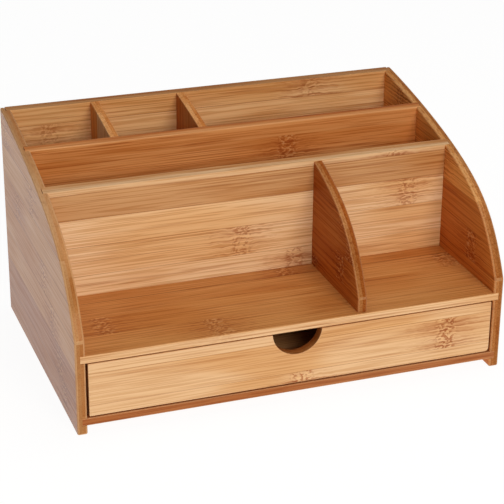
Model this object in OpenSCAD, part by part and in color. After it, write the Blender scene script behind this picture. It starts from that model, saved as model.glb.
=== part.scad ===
// Desk organizer in laminated bamboo: a carcass of glued boards with open
// compartments above and one drawer below. Millimetres, Z up, front towards -Y,
// origin in the middle of the footprint on the surface it stands on.

/* [Carcass] */
// Width over the two side panels
body_w = 330; // [290:5:370]
// Depth from the front edge to the back
body_d = 220; // [210:5:250]
// Height at the back
body_h = 172; // [160:2:190]
// Height of the side panels' front corner, where their curve starts
corner_h = 73; // [70:1:80]
// Clear height under the bottom board
foot_h = 7; // [4:1:12]
// Clear height of the drawer bay
bay_h = 43; // [38:1:46]

/* [Boards] */
// Thickness of the side panels
side_t = 7.5; // [7:0.5:9]
// Thickness of the dividers and of the back
board_t = 7; // [6:0.5:8]
// Thickness of the shelf and of the bottom board
floor_t = 6; // [5:0.5:7]

/* [Compartments] */
// Depth of the two trays in front
tray_d = 95; // [85:1:105]
// Depth of the letter slot
slot_d = 47; // [35:1:50]
// Middle of the tray divider, right of the centre
tray_split_x = 51.5; // [20:0.5:80]
// Middle of the first divider in the rear row, left of the centre
rear_split_1 = 91; // [80:1:110]
// Middle of the second divider in the rear row, left of the centre
rear_split_2 = 20.5; // [0:0.5:40]
// Distance of the tray divider behind the shelf's front edge
tray_setback = 2.5; // [1:0.5:6]

/* [Drawer] */
// Gap beside the drawer, on each side
side_gap = 1.5; // [1:0.25:2.5]
// Gap above the drawer front
top_gap = 0.6; // [0.5:0.1:1.5]
// Gap below the drawer front
bottom_gap = 1; // [0.5:0.25:2]
// Thickness of the drawer front
front_t = 8; // [7:0.5:10]
// Thickness of the drawer's sides and back
box_t = 6; // [5:0.5:8]
// Height of the drawer's sides and back
box_h = 35; // [30:1:36]
// Thickness of the drawer's bottom panel
panel_t = 3; // [2:0.5:4]
// Radius of the finger notch
notch_r = 19; // [15:1:22]

/* [Hidden] */

// Places of the carcass
half_w = body_w / 2;
inner_x = half_w - side_t;
front_y = -body_d / 2;
back_y = body_d / 2;
bay_floor = foot_h + floor_t;
shelf_z = bay_floor + bay_h;
tray_floor = shelf_z + floor_t;
back_front_y = back_y - board_t;
front_divider_y = front_y + tray_d;
rear_divider_y = front_divider_y + board_t + slot_d;

// Depth of the housings cut in the side panels, and how far each board end goes in
housing = side_t / 2;
housed_x = inner_x + housing;

// Side curve: steep at the front corner, almost level at the back. Its middle
// points are simple shares of the panel's depth and of the curve's rise.
bow = [[1/8, 3/5], [1/4, 2/3], [5/8, 9/10]];
curve_steps = 48;
curve_rise = body_h - corner_h;
curve_points = concat(
    [[0, corner_h]],
    [for (p = bow) [p[0] * body_d, corner_h + p[1] * curve_rise]],
    [[body_d, body_h]]
);

// Places of the drawer
drawer_x = inner_x - side_gap;
drawer_top = shelf_z - top_gap;
drawer_bottom_z = bay_floor + bottom_gap;
box_rear_y = back_front_y - 1;
box_front_y = front_y + front_t;
groove_depth = 3;
groove_z = bay_floor + 4;
lap = 4;
notch_rise = 1.2;
corner_r = 3;

// Brads that pin the drawer's corners
brad_r = 0.6;
brad_head_r = 1.1;
brad_head_t = 0.5;
brad_length = 16;
brad_levels = [10, 20, 30];

// Point of a smooth curve at share t of its way, drawn by halving its frame
function on_curve(points, t) = len(points) == 1
    ? points[0]
    : on_curve([for (i = [0:len(points) - 2]) points[i] * (1 - t) + points[i + 1] * t], t);

// Extrudes a flat (Y, Z) outline from x0 to x1
module across(x0, x1) {
    translate([x0, 0, 0])
        rotate([90, 0, 90])
            linear_extrude(x1 - x0)
                children();
}

// A block given by its two opposite corners
module block(low, high) {
    translate(low)
        cube(high - low);
}

// Side view of the carcass, as a (Y, Z) outline that starts at front_y
module side_outline() {
    curve = [for (i = [0:curve_steps]) on_curve(curve_points, i / curve_steps)];
    translate([front_y, 0])
        polygon(concat([[body_d, 0], [0, 0]], curve));
}

// Keeps what lies under the side curve
module under_curve(setback = 0) {
    intersection() {
        children();
        translate([0, setback, 0])
            across(-half_w, half_w)
                side_outline();
    }
}

// The boards' ends that are housed in the side panels
module housed_boards() {
    block([-housed_x, front_y - 1, foot_h], [housed_x, back_front_y, bay_floor]);
    block([-housed_x, front_y - 1, shelf_z], [housed_x, back_front_y, tray_floor]);
    block([-housed_x, front_divider_y, tray_floor], [housed_x, front_divider_y + board_t, body_h]);
    block([-housed_x, rear_divider_y, tray_floor], [housed_x, rear_divider_y + board_t, body_h]);
    block([-housed_x, back_front_y, foot_h], [housed_x, back_y + 1, body_h + 1]);
}

module side_panel(x0, x1) {
    difference() {
        across(x0, x1)
            side_outline();
        housed_boards();
    }
}

module left_side_panel() {
    color("#b08a6a")
        side_panel(-half_w, -inner_x);
}

module right_side_panel() {
    color("#a8703f")
        side_panel(inner_x, half_w);
}

// Back panel in the rabbets of the side panels, down to the bottom board's underside
module back_panel() {
    color("#b98652")
        under_curve()
            block([-housed_x, back_front_y, foot_h], [housed_x, back_y, body_h]);
}

module shelf() {
    color("#a8683a")
        block([-housed_x, front_y, shelf_z], [housed_x, back_front_y, tray_floor]);
}

module bottom_board() {
    color("#9c5c30")
        block([-housed_x, front_y, foot_h], [housed_x, back_front_y, bay_floor]);
}

// Full-width upright divider whose front face is at y
module long_divider(y) {
    under_curve()
        block([-housed_x, y, tray_floor], [housed_x, y + board_t, body_h]);
}

module rear_divider() {
    color("#b4713c")
        long_divider(rear_divider_y);
}

module front_divider() {
    color("#c8965f")
        long_divider(front_divider_y);
}

// Short divider between the two trays, set back from the shelf's front edge
module tray_divider() {
    x0 = tray_split_x - board_t / 2;
    color("#8a4a20")
        under_curve(tray_setback)
            block([x0, front_y, tray_floor], [x0 + board_t, front_divider_y, body_h]);
}

// Divider in the rear row, centred at x
module small_divider(x) {
    x0 = x - board_t / 2;
    under_curve()
        block([x0, rear_divider_y + board_t, tray_floor], [x0 + board_t, back_front_y, body_h]);
}

module small_divider_left() {
    color("#b9835a")
        small_divider(-rear_split_1);
}

module small_divider_right() {
    color("#b9835a")
        small_divider(-rear_split_2);
}

// Grooves that hold the drawer's bottom panel, all round
module panel_groove() {
    x = drawer_x - box_t + groove_depth;
    rear_y = box_rear_y - box_t + groove_depth;
    block([-x, box_front_y - groove_depth, groove_z], [x, rear_y, groove_z + panel_t]);
}

// Outline of the drawer front, seen from the front, with its lower right corner rounded
module front_outline() {
    corner = [drawer_x - corner_r, drawer_bottom_z + corner_r];
    difference() {
        translate([-drawer_x, drawer_bottom_z])
            square([2 * drawer_x, drawer_top - drawer_bottom_z]);
        translate([0, drawer_top + notch_rise])
            circle(r = notch_r, $fn = 96);
        difference() {
            translate(corner - [0, 2 * corner_r])
                square(2 * corner_r);
            translate(corner)
                circle(r = corner_r, $fn = 32);
        }
    }
}

// Inset front with the half-round finger notch, rabbeted at its ends for the sides
module drawer_front() {
    color("#deb07a")
        difference() {
            translate([0, box_front_y, 0])
                rotate([90, 0, 0])
                    linear_extrude(front_t)
                        front_outline();
            side_blank(-1);
            side_blank(1);
            panel_groove();
        }
}

// One drawer side before it is grooved: it laps into the front's rabbet and
// runs to the drawer's rear
module side_blank(side) {
    x0 = side > 0 ? drawer_x - box_t : -drawer_x;
    block([x0, box_front_y - lap, bay_floor], [x0 + box_t, box_rear_y, bay_floor + box_h]);
}

module drawer_side(side) {
    difference() {
        side_blank(side);
        panel_groove();
        brads();
    }
}

module drawer_left_side() {
    color("#cda06c")
        drawer_side(-1);
}

module drawer_right_side() {
    color("#cda06c")
        drawer_side(1);
}

module drawer_back() {
    x = drawer_x - box_t;
    color("#c99a66")
        difference() {
            block([-x, box_rear_y - box_t, bay_floor], [x, box_rear_y, bay_floor + box_h]);
            panel_groove();
            brads();
        }
}

module drawer_bottom() {
    color("#d9b384")
        panel_groove();
}

// One brad driven along +X, its head flush with the plane x = 0
module brad() {
    rotate([0, 90, 0]) {
        cylinder(h = brad_head_t, r = brad_head_r, $fn = 24);
        cylinder(h = brad_length, r = brad_r, $fn = 16);
    }
}

// Three brads through each side into the drawer's back
module brads() {
    y = box_rear_y - box_t / 2;
    for (z = brad_levels) {
        translate([-drawer_x, y, bay_floor + z])
            brad();
        translate([drawer_x, y, bay_floor + z])
            mirror([1, 0, 0])
                brad();
    }
}

module drawer_brads() {
    color("#9a9a98")
        brads();
}

left_side_panel();
right_side_panel();
back_panel();
shelf();
bottom_board();
rear_divider();
front_divider();
tray_divider();
small_divider_left();
small_divider_right();
drawer_front();
drawer_left_side();
drawer_right_side();
drawer_back();
drawer_bottom();
drawer_brads();
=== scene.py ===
import math
import random

import bmesh
import bpy
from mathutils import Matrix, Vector


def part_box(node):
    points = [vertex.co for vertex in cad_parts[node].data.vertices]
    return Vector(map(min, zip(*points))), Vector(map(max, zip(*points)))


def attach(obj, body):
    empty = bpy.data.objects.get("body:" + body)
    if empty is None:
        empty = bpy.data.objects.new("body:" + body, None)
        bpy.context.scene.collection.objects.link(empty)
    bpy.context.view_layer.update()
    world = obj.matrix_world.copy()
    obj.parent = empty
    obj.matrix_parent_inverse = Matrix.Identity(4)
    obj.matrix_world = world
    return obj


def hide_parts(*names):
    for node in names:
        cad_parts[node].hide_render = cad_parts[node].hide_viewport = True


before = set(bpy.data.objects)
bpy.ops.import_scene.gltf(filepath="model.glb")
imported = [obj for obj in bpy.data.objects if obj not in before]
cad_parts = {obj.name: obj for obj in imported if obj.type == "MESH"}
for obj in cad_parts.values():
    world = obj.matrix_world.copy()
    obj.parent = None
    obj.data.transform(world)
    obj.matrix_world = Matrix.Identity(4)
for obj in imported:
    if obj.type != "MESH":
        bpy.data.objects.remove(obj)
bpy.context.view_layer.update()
mm = 0.001
mixFirst, mixSecond, mixResult = 6, 7, 2  # the colour sockets of a Mix node


def fromHex(code):
    # sRGB hex to the linear values that shaders work in
    channels = [int(code[i:i + 2], 16) / 255 for i in (1, 3, 5)]
    return [c / 12.92 if c <= 0.04045 else ((c + 0.055) / 1.055) ** 2.4 for c in channels] + [1.0]


def addNode(tree, kind, inputs=None, **settings):
    # one node, its settings, and its inputs: a socket is linked, anything else is set
    node = tree.nodes.new(kind)
    for name, value in settings.items():
        setattr(node, name, value)
    for socket, value in (inputs or {}).items():
        if isinstance(value, bpy.types.NodeSocket):
            tree.links.new(value, node.inputs[socket])
        else:
            node.inputs[socket].default_value = value
    return node


print("camera and light")

# where the camera stands, in metres and degrees; the lens is for a 36 mm sensor
cameraPlan = {
    "place": (-0.404, -1.127, 0.6045),
    "azimuth": -19.91,
    "elevation": 23.97,
    "roll": 0.49,
    "lens": 121.0,
}


def makeCamera(plan):
    azimuth, elevation, roll = (math.radians(plan[key]) for key in ("azimuth", "elevation", "roll"))
    back = Vector((
        math.sin(azimuth) * math.cos(elevation),
        -math.cos(azimuth) * math.cos(elevation),
        math.sin(elevation),
    ))
    right = Vector((0, 0, 1)).cross(back).normalized()
    up = back.cross(right)
    tiltedRight = right * math.cos(roll) + up * math.sin(roll)
    tiltedUp = back.cross(tiltedRight)
    data = bpy.data.cameras.new("studioCamera")
    data.lens = plan["lens"]
    data.sensor_width = 36
    data.clip_end = 20
    camera = bpy.data.objects.new("studioCamera", data)
    bpy.context.collection.objects.link(camera)
    for row in range(3):
        for column, axis in enumerate((tiltedRight, tiltedUp, back)):
            camera.matrix_world[row][column] = axis[row]
        camera.matrix_world[row][3] = plan["place"][row]
    bpy.context.scene.camera = camera


makeCamera(cameraPlan)

# soft boxes: place and aim in metres, size in metres, power in watts
lightPlan = {
    "frontBox": {
        "place": (0.14, -1.95, 1.0), "aim": (0, 0, 0.08),
        "size": (1.1, 0.7), "power": 25, "tint": "#fff3e2",
    },
    "topBox": {
        "place": (0.2, 0.3, 1.8), "aim": (0, 0, 0),
        "size": (1.4, 1.4), "power": 8, "tint": "#ffffff",
    },
}


def makeLight(name, plan):
    data = bpy.data.lights.new(name, "AREA")
    data.shape = "RECTANGLE"
    data.size, data.size_y = plan["size"]
    data.energy = plan["power"]
    data.color = fromHex(plan["tint"])[:3]
    light = bpy.data.objects.new(name, data)
    bpy.context.collection.objects.link(light)
    light.location = plan["place"]
    aim = Vector(plan["aim"]) - Vector(plan["place"])
    light.rotation_mode = "QUATERNION"
    light.rotation_quaternion = aim.to_track_quat("-Z", "Y")


for lightName, lightValues in lightPlan.items():
    makeLight(lightName, lightValues)

worldPlan = {"tint": "#f4f5f7", "strength": 0.18}
world = bpy.data.worlds.new("paleStudio")
bpy.context.scene.world = world
world.use_nodes = True
background = world.node_tree.nodes["Background"]
background.inputs["Color"].default_value = fromHex(worldPlan["tint"])
background.inputs["Strength"].default_value = worldPlan["strength"]
bpy.context.scene.view_settings.view_transform = "Standard"

print("floor")

# A table of opal acrylic lit from below, so that shadows stay faint. Its reach is in metres.
floorPlan = {"reach": 4.0, "paint": "#606060", "glow": 0.93}


def makeFloor(plan):
    work = bmesh.new()
    bmesh.ops.create_grid(work, x_segments=8, y_segments=8, size=plan["reach"])
    mesh = bpy.data.meshes.new("studioFloor")
    work.to_mesh(mesh)
    work.free()
    floor = bpy.data.objects.new("studioFloor", mesh)
    bpy.context.collection.objects.link(floor)
    paint = bpy.data.materials.new("litWhiteTable")
    paint.use_nodes = True
    shader = paint.node_tree.nodes["Principled BSDF"]
    shader.inputs["Base Color"].default_value = fromHex(plan["paint"])
    shader.inputs["Roughness"].default_value = 0.9
    shader.inputs["Specular IOR Level"].default_value = 0.1
    shader.inputs["Emission Color"].default_value = fromHex("#ffffff")
    shader.inputs["Emission Strength"].default_value = plan["glow"]
    mesh.materials.append(paint)


makeFloor(floorPlan)

print("bamboo")

# What all the boards share. Lengths in mm.
bamboo = {
    "bandLength": 700, "bandWidth": 3.2,    # soft straight bands inside one strip
    "fibreLength": 340, "fibreWidth": 1.3,  # real fibres are near 0.4 mm: drawn coarser so that they show
    "breakLength": 42, "breakWidth": 2.4,   # where a fibre fades out and another begins
    "fineLength": 60, "fineWidth": 0.9,
    "cloudLength": 120, "cloudWidth": 40,   # slow change of tone over a board
    "knotReach": 7, "knotRagged": 10,       # half length of a culm node, and how uneven its ends are
    "flareReach": 35, "flareRagged": 40,    # the same for the fibres that part round it
    "flarePush": 3.5, "fleckCurl": 9,       # how far these fibres, and the flecks, are moved
    "fleckLength": 2.6, "fleckWidth": 1.6,  # specks that fill a culm node
    "poreSize": 0.8,                        # ends of the vessels in end grain
    "glueLine": 0.35,
    "lacquerRoughness": 0.32, "lacquerSpread": 0.14,
    "lineDepth": 0.5, "pitDepth": 1.4, "relief": 0.12,
}


def constantRamp(tree, factor, stops):
    # a ramp of steps: stops are (place from 0 to 1, linear colour)
    node = addNode(tree, "ShaderNodeValToRGB", {"Fac": factor})
    ramp = node.color_ramp
    ramp.interpolation = "CONSTANT"
    while len(ramp.elements) < len(stops):
        ramp.elements.new(0.5)
    for element, (place, colour) in zip(ramp.elements, stops):
        element.position = place
        element.color = colour
    return node.outputs["Color"]


def bambooMaterial(name, look):
    # Laminated bamboo under satin lacquer: flat strips a finger wide, each of its own
    # tone, with long fine fibres, speckled culm nodes, and pores where the grain ends.
    material = bpy.data.materials.new(name)
    material.use_nodes = True
    tree = material.node_tree
    shader = tree.nodes["Principled BSDF"]

    def calc(operation, *values, clamp=False):
        inputs = dict(enumerate(values))
        return addNode(tree, "ShaderNodeMath", inputs, operation=operation, use_clamp=clamp).outputs[0]

    def smooth(value, low, high, toLow=0.0, toHigh=1.0):
        inputs = {"Value": value, "From Min": low, "From Max": high, "To Min": toLow, "To Max": toHigh}
        return addNode(tree, "ShaderNodeMapRange", inputs, interpolation_type="SMOOTHSTEP").outputs[0]

    def noise(vector, detail, roughness=0.5):
        inputs = {"Vector": vector, "Scale": 1.0, "Detail": detail, "Roughness": roughness}
        return addNode(tree, "ShaderNodeTexNoise", inputs).outputs["Fac"]

    def stretched(u, v, w, alongU, acrossV):
        # a vector in which one unit is alongU mm of grain and acrossV mm across it
        parts = {0: calc("DIVIDE", u, alongU), 1: calc("DIVIDE", v, acrossV), 2: calc("DIVIDE", w, acrossV)}
        return addNode(tree, "ShaderNodeCombineXYZ", parts).outputs[0]

    def grain(kind, detail):
        return noise(stretched(u, v, through, bamboo[kind + "Length"], bamboo[kind + "Width"]), detail)

    def tinted(colour, tint, factor, blend="MULTIPLY"):
        second = fromHex(tint) if isinstance(tint, str) else tint
        inputs = {"Factor": factor, mixFirst: colour, mixSecond: second}
        node = addNode(tree, "ShaderNodeMix", inputs, data_type="RGBA", blend_type=blend)
        return node.outputs[mixResult]

    place = addNode(tree, "ShaderNodeTexCoord").outputs["Object"]
    inMm = addNode(tree, "ShaderNodeVectorMath", {0: place, "Scale": 1000.0}, operation="SCALE").outputs[0]
    axes = addNode(tree, "ShaderNodeSeparateXYZ", {0: inMm}).outputs
    along, across, through = (axes["xyz".index(axis)] for axis in look["axes"])
    farPly = calc("GREATER_THAN", through, look["plyLine"])

    # strips, from the low side of the across axis
    widths = [strip[0] for strip in look["strips"]]
    total = sum(widths)
    edges = [sum(widths[:i]) / total for i in range(len(widths))]
    chance = random.Random(look["seed"])
    tones = [(edge, fromHex(strip[1])) for edge, strip in zip(edges, look["strips"])]
    knotSpan = 800.0   # mm of grain that a mark's red channel covers
    driftSpan = 900.0  # how far the grain of two strips may be apart, mm
    plyDrift = 377.0   # the same for the two plies of one strip
    marks = []
    for edge, strip in zip(edges, look["strips"]):
        marks.append((edge, (0.5 + strip[2] / knotSpan, chance.random(), chance.random(), 1.0)))
    shifted = calc("MULTIPLY_ADD", farPly, look["plyShift"], across)
    share = calc("DIVIDE", calc("SUBTRACT", shifted, look["start"]), total, clamp=True)
    tone = constantRamp(tree, share, tones)
    if "farTones" in look:
        farTones = [(edge, fromHex(look["farTones"][i % 2])) for i, edge in enumerate(edges)]
        tone = tinted(tone, constantRamp(tree, share, farTones), farPly, "MIX")

    # which way a face looks: along the grain it is end grain, off the thickness it is an edge
    normal = addNode(tree, "ShaderNodeNewGeometry").outputs["Normal"]
    looks = addNode(tree, "ShaderNodeSeparateXYZ", {0: normal}).outputs
    facing = [calc("ABSOLUTE", looks["xyz".index(axis)]) for axis in look["axes"]]
    ended = smooth(facing[0], 0.55, 0.85)
    if "edge" in look:
        narrow = smooth(facing[2], 0.75, 0.35, 0.0, look["edgeShare"])
        tone = tinted(tone, look["edge"], narrow, "MIX")
    mark = addNode(tree, "ShaderNodeSeparateColor", {0: constantRamp(tree, share, marks)}).outputs
    knotPlace = calc("MULTIPLY", calc("SUBTRACT", mark[0], 0.5), knotSpan)
    drift = calc("MULTIPLY_ADD", mark[1], driftSpan, calc("MULTIPLY", farPly, plyDrift))

    # the culm node: fibres part round it and flecks fill it
    u = calc("ADD", along, drift)
    ragged = calc("SUBTRACT", noise(stretched(u, across, through, 6, 2.5), 2), 0.5)
    centred = calc("SUBTRACT", along, knotPlace)
    reach = bamboo["knotReach"]
    knotEnds = calc("ABSOLUTE", calc("MULTIPLY_ADD", ragged, bamboo["knotRagged"], centred))
    flareEnds = calc("ABSOLUTE", calc("MULTIPLY_ADD", ragged, bamboo["flareRagged"], centred))
    knot = smooth(knotEnds, reach * 1.5, reach * 0.6)
    flare = smooth(flareEnds, bamboo["flareReach"], reach)
    broad = smooth(facing[2], 0.35, 0.75, 0.25, 1.0)
    knot = calc("MULTIPLY", knot, broad)
    flare = calc("MULTIPLY", flare, broad)
    swirl = calc("SUBTRACT", noise(stretched(u, across, through, 9, 5), 1), 0.5)
    v = calc("MULTIPLY_ADD", calc("MULTIPLY", swirl, flare), bamboo["flarePush"], across)

    band = grain("band", 2)
    fibre = grain("fibre", 1)
    gate = grain("break", 1)
    fine = grain("fine", 1)
    cloud = grain("cloud", 1)
    uCurled = calc("MULTIPLY_ADD", swirl, bamboo["fleckCurl"], u)
    fleck = noise(stretched(uCurled, v, through, bamboo["fleckLength"], bamboo["fleckWidth"]), 1)
    line = calc("MULTIPLY", smooth(fibre, 0.555, 0.62), smooth(gate, 0.38, 0.6, 0.1, 1.0))

    colour = tinted(tone, "#f1e0c8", smooth(band, 0.44, 0.6, 0.0, look["banding"]))
    colour = tinted(colour, "#fff2d8", smooth(band, 0.42, 0.32, 0.0, 0.06), "SOFT_LIGHT")
    colour = tinted(colour, "#b57a42", calc("MULTIPLY", line, look["streak"]))
    colour = tinted(colour, "#d3b080", smooth(fine, 0.47, 0.6, 0.0, look["fineness"]))
    colour = tinted(colour, "#f2e2cc", smooth(cloud, 0.42, 0.66))
    colour = tinted(colour, "#c07e40", calc("MULTIPLY", flare, smooth(fibre, 0.42, 0.58, 0.0, 0.42)))
    colour = tinted(colour, "#b8702e", calc("MULTIPLY", knot, smooth(fleck, 0.5, 0.58, 0.0, look["fleck"])))
    colour = tinted(colour, "#f4c88c", calc("MULTIPLY", knot, smooth(fleck, 0.46, 0.36, 0.0, 0.3)), "MIX")

    # pores where the fibres end
    pores = noise(stretched(u, across, through, 4, bamboo["poreSize"]), 2)
    colour = tinted(colour, look["endTint"], calc("MULTIPLY", ended, 0.9))
    colour = tinted(colour, "#8a5230", calc("MULTIPLY", ended, smooth(pores, 0.52, 0.66, 0.0, 0.22)))

    # the far ply, the glue between strips, and the arrises: paler where sanded, with a painted highlight on
    # top
    colour = tinted(colour, look["farTint"], farPly)
    glue = constantRamp(tree, share, glueStops(edges, total))
    colour = tinted(colour, "#a87444", calc("MULTIPLY", glue, calc("MULTIPLY", broad, 0.5)))
    arris = addNode(tree, "ShaderNodeAttribute", attribute_name="arris").outputs["Fac"]
    # the rounded arrises mixed towards a pale tone: partly sanded wood, partly a painted highlight for the
    # lacquer's shine along them
    colour = tinted(colour, "#f0c898", calc("MULTIPLY", arris, look["rub"]), "MIX")

    tree.links.new(colour, shader.inputs["Base Color"])
    smoothest = bamboo["lacquerRoughness"]
    gloss = smooth(fine, 0.3, 0.75, smoothest, smoothest + bamboo["lacquerSpread"])
    tree.links.new(gloss, shader.inputs["Roughness"])
    lines = calc("MULTIPLY", line, -bamboo["lineDepth"])
    pits = calc("MULTIPLY", knot, calc("SUBTRACT", 0.5, fleck))
    height = calc("ADD", lines, calc("MULTIPLY", pits, bamboo["pitDepth"]))
    bump = addNode(tree, "ShaderNodeBump", {
        "Height": height, "Strength": 0.35, "Distance": bamboo["relief"] * mm,
    })
    tree.links.new(bump.outputs[0], shader.inputs["Normal"])
    shader.inputs["IOR"].default_value = 1.48
    shader.inputs["Specular Tint"].default_value = fromHex("#e0a468")
    shader.inputs["Specular IOR Level"].default_value = look["shine"]
    shader.inputs["Coat Weight"].default_value = look["coat"]
    shader.inputs["Coat Roughness"].default_value = 0.12
    return material


def glueStops(edges, total):
    # white for the width of a glue line at each strip edge, black between
    half = bamboo["glueLine"] / 2 / total
    stops = [(0.0, (0, 0, 0, 1))]
    for edge in edges[1:]:
        stops.append((edge - half, (1, 1, 1, 1)))
        stops.append((edge + half, (0, 0, 0, 1)))
    return stops


def plainStrips(seed, total, width, tones, knots):
    # strips for a board that needs no particular ones
    chance = random.Random(seed)
    strips = []
    left = total
    while left > 0:
        strips.append((width, chance.choice(tones), chance.uniform(*knots)))
        left -= width
    return strips


print("boards")

# The wood's tones, from the palest to the darkest.
cream = "#f8d8b0"
wheat = "#f8cc98"
sand = "#e4bc90"
amber = "#f8b060"
straw = "#e4a064"
tan = "#d0a070"
honey = "#d89858"
clay = "#c88e5a"
ochre = "#d8843c"
rust = "#c07030"
bark = "#b07044"

# A tone that stands more than once in a list is drawn more often.
pale = [sand, wheat, sand, sand]
umber = [bark, bark, rust]
russet = [rust, rust, rust, rust]

noNode = -250  # a culm node's place off the end of every board

# What a board has unless its own entry says otherwise.
plainBoard = {
    "farTint": "#f0dcc4",             # over the far ply
    "plyShift": 11,                   # how far the far ply's strips are set over, mm
    "banding": 0.3,                   # depth of the soft bands
    "streak": 0.4,                    # depth of the fibre lines
    "fineness": 0.5,                  # depth of the finest grain
    "fleck": 0.5,                     # depth of the specks in a culm node
    "rub": 0.2,                       # how much paler the arrises are: sanded wood and a painted highlight
    "edgeShare": 1.0,                 # how far the edge tone, where there is one, hides the strips
    "endTint": "#d4c4ad",
    "shine": 0.4, "coat": 0.08,       # strength of the satin lacquer and of its clear top
}

# One entry for each board: its body and slot, how far its arrises are rounded (mm), and
# its lamination. axes are the grain, the strips' width and the thickness; plyLine is where
# the two plies meet. A strip is its width, its tone, and where its culm node is along the
# grain. edge is the tone of the narrow faces, farTones those of the far ply.
boardPlan = {
    "left_side_panel": {
        "body": "carcass", "slot": "bamboo_honey", "round": 1.3,
        "axes": "yzx", "start": 0, "seed": 3, "plyLine": -161.25, "plyShift": 9,
        "farTint": "#fff4e6", "edge": tan, "banding": 0.1, "streak": 0.12,
        "fineness": 0.25, "rub": 0.3, "shine": 0.43,
        "strips": [
            (24, bark, -75), (24, bark, -62), (24, clay, -45), (24, clay, -20),
            (24, clay, 60), (24, clay, 10), (24, clay, 90), (24, clay, 50),
        ],
    },
    "right_side_panel": {
        "body": "carcass", "slot": "bamboo_honey", "round": 1.3,
        "axes": "yzx", "start": 0, "seed": 5, "plyLine": 161.25, "plyShift": 9,
        "farTones": [tan, clay],
        "edge": tan, "edgeShare": 0.6, "shine": 0.08, "coat": 0.0,
        # the near ply, the panel's inner face, has ochre strips darker than the tan and clay of its outer
        # face: partly the board's own tone, partly painted shade inside the organizer
        "strips": [
            (24, ochre, 60), (24, ochre, -150), (24, ochre, 20), (24, ochre, -68),
            (24, ochre, 90), (24, amber, -10), (24, amber, 70), (24, amber, 20),
        ],
    },
    "back_panel": {
        "body": "carcass", "slot": "bamboo_honey", "round": 0.8,
        "axes": "xzy", "start": 0, "seed": 7, "plyLine": 106.5, "fleck": 0.35, "edge": tan,
        "strips": [
            (24, wheat, -40), (24, wheat, 120), (24, wheat, -90), (24, wheat, 60),
            (24, wheat, -20), (14, wheat, noNode), (22, wheat, -128), (24, wheat, 90),
        ],
    },
    "shelf": {
        "body": "carcass", "slot": "bamboo_amber", "round": 0.8,
        "axes": "xyz", "start": -112, "seed": 9, "plyLine": 100, "streak": 0.5, "edge": sand,
        "strips": [
            (29, honey, -56), (28, honey, -134), (25, honey, 150), (25, honey, 23),
            (28, honey, -90), (28, honey, 60), (30, honey, -20), (30, honey, 110),
        ],
    },
    "bottom_board": {
        "body": "carcass", "slot": "bamboo_amber", "round": 0.8,
        "axes": "xyz", "start": -112, "seed": 11, "plyLine": 100, "shine": 0.25,
        "strips": [(22, umber[0], noNode)] + plainStrips(11, 198, 22, umber, (-160, 160)),
    },
    "rear_divider": {
        "body": "carcass", "slot": "bamboo_amber", "round": 0.7,
        "axes": "xzy", "start": 60, "seed": 13, "plyLine": 42.5, "streak": 0.55,
        "strips": [
            (21, straw, -100), (24, straw, 120), (22, straw, -60),
            (22, straw, 47), (30, straw, noNode),
        ],
    },
    "front_divider": {
        "body": "carcass", "slot": "bamboo_honey", "round": 0.7,
        "axes": "xzy", "start": 60, "seed": 15, "plyLine": -11.5, "banding": 0.2, "streak": 0.35,
        "strips": [
            (17.5, cream, 34), (23.5, cream, -10), (22, cream, 127),
            (20, tan, noNode), (30, sand, 116),
        ],
    },
    "tray_divider": {
        "body": "carcass", "slot": "bamboo_amber", "round": 1.0,
        "axes": "yzx", "start": 50, "seed": 17, "plyLine": 51.5, "plyShift": 9,
        "farTint": "#e8c8a4", "edge": clay, "shine": 0.05, "coat": 0.0, "rub": 0.15,
        # dark russet strips on both faces: partly the board's own tone, partly painted shade for the shade
        # on its left face
        "strips": plainStrips(17, 110, 22, russet, (-100, 0)),
    },
    "small_divider_left": {
        "body": "carcass", "slot": "bamboo_honey", "round": 0.7,
        "axes": "zyx", "start": 40, "seed": 19, "plyLine": -91, "plyShift": 9,
        "edge": wheat, "endTint": "#ffe6c8", "shine": 0.1, "coat": 0.0,
        "strips": plainStrips(19, 70, 22, [wheat, amber], (70, 140)),
    },
    "small_divider_right": {
        "body": "carcass", "slot": "bamboo_honey", "round": 0.7,
        "axes": "zyx", "start": 40, "seed": 21, "plyLine": -20.5, "plyShift": 9,
        "edge": wheat, "endTint": "#ffe6c8", "shine": 0.1, "coat": 0.0,
        "strips": plainStrips(21, 70, 22, [ochre, ochre], (70, 140)),
    },
    "drawer_front": {
        "body": "drawer", "slot": "bamboo_light", "round": 0.6,
        "axes": "xzy", "start": 12, "seed": 23, "plyLine": -106, "edge": clay,
        "banding": 0.15, "streak": 0.28, "fineness": 0.4, "fleck": 0.7,
        "strips": [(10.5, sand, 4), (25, sand, 119), (14, sand, noNode)],
    },
    "drawer_left_side": {
        "body": "drawer", "slot": "bamboo_light", "round": 0.6,
        "axes": "yzx", "start": 12, "seed": 25, "plyLine": -153, "plyShift": 6,
        "strips": plainStrips(25, 40, 20, pale, (-100, 100)),
    },
    "drawer_right_side": {
        "body": "drawer", "slot": "bamboo_light", "round": 0.6,
        "axes": "yzx", "start": 12, "seed": 27, "plyLine": 153, "plyShift": 6,
        "strips": plainStrips(27, 40, 20, pale, (-100, 100)),
    },
    "drawer_back": {
        "body": "drawer", "slot": "bamboo_light", "round": 0.6,
        "axes": "xzy", "start": 12, "seed": 29, "plyLine": 99, "plyShift": 6,
        "strips": plainStrips(29, 40, 20, pale, (-140, 140)),
    },
    "drawer_bottom": {
        "body": "drawer", "slot": "bamboo_light", "round": 0.2,
        "axes": "xyz", "start": -112, "seed": 31, "plyLine": 100,
        "strips": plainStrips(31, 220, 22, pale, (-160, 160)),
    },
}


def neighbourBoxes(node, body):
    names = [n for n, plan in boardPlan.items() if plan["body"] == body and n != node]
    return [[Vector(corner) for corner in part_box(n)] for n in names]


def inJoint(face, boxes):
    # true if the whole face is covered by another board of the same body
    outward = 0.05 * mm
    inset = 0.03
    centre = face.calc_center_median()
    for vert in face.verts:
        probe = vert.co.lerp(centre, inset) + face.normal * outward
        if not any(all(low[i] < probe[i] < high[i] for i in range(3)) for low, high in boxes):
            return False
    return True


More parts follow.
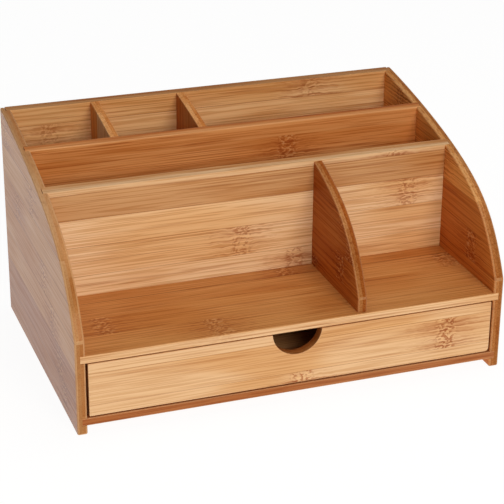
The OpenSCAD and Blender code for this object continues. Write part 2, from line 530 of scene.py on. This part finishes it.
def easedBoard(node, plan):
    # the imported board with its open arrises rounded; edges inside joints stay sharp
    work = bmesh.new()
    work.from_mesh(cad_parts[node].data)
    bmesh.ops.remove_doubles(work, verts=work.verts, dist=1e-6)
    bmesh.ops.dissolve_limit(work, angle_limit=math.radians(0.3), verts=work.verts, edges=work.edges)
    work.normal_update()
    layer = work.faces.layers.float.new("arris")
    boxes = neighbourBoxes(node, plan["body"])
    joined = {face for face in work.faces if inJoint(face, boxes)}
    hard = math.radians(20)
    sharp = math.radians(35)
    arrises = []
    for edge in work.edges:
        if len(edge.link_faces) != 2 or edge.calc_face_angle(0) < hard:
            continue
        if not any(face in joined for face in edge.link_faces):
            arrises.append(edge)
    rounded = bmesh.ops.bevel(
        work, geom=arrises, offset=plan["round"] * mm, offset_type="OFFSET", segments=3,
        profile=0.5, affect="EDGES", clamp_overlap=True,
    )["faces"]
    for face in work.faces:
        face.smooth = True
    for face in rounded:
        face[layer] = 1.0
    for edge in work.edges:
        edge.smooth = edge.calc_face_angle(0) < sharp
    name = "".join(word.capitalize() for word in node.split("_"))
    mesh = bpy.data.meshes.new(name[0].lower() + name[1:])
    work.to_mesh(mesh)
    work.free()
    piece = bpy.data.objects.new(mesh.name, mesh)
    bpy.context.collection.objects.link(piece)
    even = piece.modifiers.new("evenShading", "WEIGHTED_NORMAL")
    even.keep_sharp = True
    mesh.materials.append(bambooMaterial(mesh.name + "Bamboo", plan))
    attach(piece, plan["body"])
    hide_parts(node)


for nodeName, boardValues in boardPlan.items():
    easedBoard(nodeName, {**plainBoard, **boardValues})

print("brads")

# Wire brads that pin the drawer's back. Lengths in mm; their places come from the frame.
bradPlan = {
    "perSide": 3, "headRadius": 1.1, "headHeight": 0.5, "dishDepth": 0.15,
    "shankRadius": 0.6, "length": 16, "pointLength": 1.6, "sides": 20,
    "steel": "#b4b1aa", "line": "#85817a", "lineLength": 12.5, "lineWidth": 0.12,
}


def drawnSteel(plan):
    # bright wire drawn through a die: a cold grey shine with fine lines along the shank
    material = bpy.data.materials.new("drawnSteelWire")
    material.use_nodes = True
    tree = material.node_tree
    shader = tree.nodes["Principled BSDF"]
    place = addNode(tree, "ShaderNodeTexCoord").outputs["Object"]
    length, width = (1 / (plan[key] * mm) for key in ("lineLength", "lineWidth"))
    lines = addNode(tree, "ShaderNodeMapping", {
        "Vector": place, "Scale": (length, width, width),
    }).outputs[0]
    grain = addNode(tree, "ShaderNodeTexNoise", {"Vector": lines, "Scale": 1.0, "Detail": 2}).outputs["Fac"]
    shade = addNode(tree, "ShaderNodeMix", {
        "Factor": grain, mixFirst: fromHex(plan["steel"]), mixSecond: fromHex(plan["line"]),
    }, data_type="RGBA").outputs[mixResult]
    tree.links.new(shade, shader.inputs["Base Color"])
    rough = addNode(tree, "ShaderNodeMapRange", {"Value": grain, "To Min": 0.25, "To Max": 0.45}).outputs[0]
    tree.links.new(rough, shader.inputs["Roughness"])
    bump = addNode(tree, "ShaderNodeBump", {"Height": grain, "Strength": 0.2, "Distance": 0.02 * mm})
    tree.links.new(bump.outputs[0], shader.inputs["Normal"])
    shader.inputs["Metallic"].default_value = 1.0
    return material


def bradTree():
    # two rows of brads, one driven in from each side; each is a dished head, a shank and a point
    tree = bpy.data.node_groups.new("bradRows", "GeometryNodeTree")
    floats = ["Left X", "Right X", "Rear Y", "Lowest Z", "Spacing", "Head Radius", "Head Height",
              "Dish Depth", "Shank Radius", "Length", "Point Length"]
    for name in floats:
        tree.interface.new_socket(name=name, in_out="INPUT", socket_type="NodeSocketFloat")
    for name in ("Per Side", "Sides"):
        tree.interface.new_socket(name=name, in_out="INPUT", socket_type="NodeSocketInt")
    tree.interface.new_socket(name="Steel", in_out="INPUT", socket_type="NodeSocketMaterial")
    tree.interface.new_socket(name="Geometry", in_out="OUTPUT", socket_type="NodeSocketGeometry")
    given = addNode(tree, "NodeGroupInput").outputs

    def calc(operation, *values):
        return addNode(tree, "ShaderNodeMath", dict(enumerate(values)), operation=operation).outputs[0]

    def combined(x, y, z):
        return addNode(tree, "ShaderNodeCombineXYZ", {0: x, 1: y, 2: z}).outputs[0]

    def placed(geometry, z):
        inputs = {"Geometry": geometry, "Translation": combined(0.0, 0.0, z)}
        return addNode(tree, "GeometryNodeTransform", inputs).outputs[0]

    def frustum(low, high, z, depth):
        inputs = {"Vertices": given["Sides"], "Radius Bottom": low, "Radius Top": high, "Depth": depth}
        cone = addNode(tree, "GeometryNodeMeshCone", inputs, fill_type="NGON").outputs[0]
        return placed(cone, z)

    # the head's rim, the ring round its dish, the shank and its point, along +Z from the head's face
    rimShare, dishShare = 0.82, 0.45  # of the head's radius
    rim = calc("MULTIPLY", given["Head Radius"], rimShare)
    dish = calc("MULTIPLY", given["Head Radius"], dishShare)
    ringDepth = calc("SUBTRACT", given["Head Height"], given["Dish Depth"])
    straight = calc("SUBTRACT", given["Length"], given["Point Length"])
    pieces = [
        frustum(rim, given["Head Radius"], 0.0, given["Dish Depth"]),
        frustum(given["Head Radius"], dish, given["Dish Depth"], ringDepth),
        frustum(given["Shank Radius"], given["Shank Radius"], 0.0, straight),
        frustum(given["Shank Radius"], 0.0, straight, given["Point Length"]),
    ]
    joined = tree.nodes.new("GeometryNodeJoinGeometry")
    for piece in reversed(pieces):
        tree.links.new(piece, joined.inputs[0])

    rows = tree.nodes.new("GeometryNodeJoinGeometry")
    for side, turn in (("Right X", -math.pi / 2), ("Left X", math.pi / 2)):
        points = addNode(tree, "GeometryNodeMeshLine", {
            "Count": given["Per Side"],
            "Start Location": combined(given[side], given["Rear Y"], given["Lowest Z"]),
            "Offset": combined(0.0, 0.0, given["Spacing"]),
        }).outputs[0]
        row = addNode(tree, "GeometryNodeInstanceOnPoints", {
            "Points": points, "Instance": joined.outputs[0], "Rotation": (0.0, turn, 0.0),
        }).outputs[0]
        tree.links.new(row, rows.inputs[0])
    real = addNode(tree, "GeometryNodeRealizeInstances", {"Geometry": rows.outputs[0]}).outputs[0]
    painted = {"Geometry": real, "Material": given["Steel"]}
    steel = addNode(tree, "GeometryNodeSetMaterial", painted).outputs[0]
    addNode(tree, "NodeGroupOutput", {"Geometry": steel})
    return tree


def makeBrads(plan):
    low, high = (Vector(corner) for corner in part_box("drawer_brads"))
    headRadius = plan["headRadius"] * mm
    lowest = low.z + headRadius
    values = {
        "Left X": low.x, "Right X": high.x, "Rear Y": (low.y + high.y) / 2, "Lowest Z": lowest,
        "Spacing": (high.z - headRadius - lowest) / (plan["perSide"] - 1),
        "Head Radius": headRadius, "Head Height": plan["headHeight"] * mm,
        "Dish Depth": plan["dishDepth"] * mm,
        "Shank Radius": plan["shankRadius"] * mm, "Length": plan["length"] * mm,
        "Point Length": plan["pointLength"] * mm,
        "Per Side": plan["perSide"], "Sides": plan["sides"], "Steel": drawnSteel(plan),
    }
    tree = bradTree()
    piece = bpy.data.objects.new("drawerBrads", bpy.data.meshes.new("drawerBrads"))
    bpy.context.collection.objects.link(piece)
    modifier = piece.modifiers.new("bradRows", "NODES")
    modifier.node_group = tree
    for socket in tree.interface.items_tree:
        if socket.in_out == "INPUT":
            modifier[socket.identifier] = values[socket.name]
    graph = bpy.context.evaluated_depsgraph_get()
    graph.update()
    mesh = bpy.data.meshes.new_from_object(piece.evaluated_get(graph))
    piece.modifiers.clear()
    piece.data = mesh
    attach(piece, "drawer")
    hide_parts("drawer_brads")


makeBrads(bradPlan)
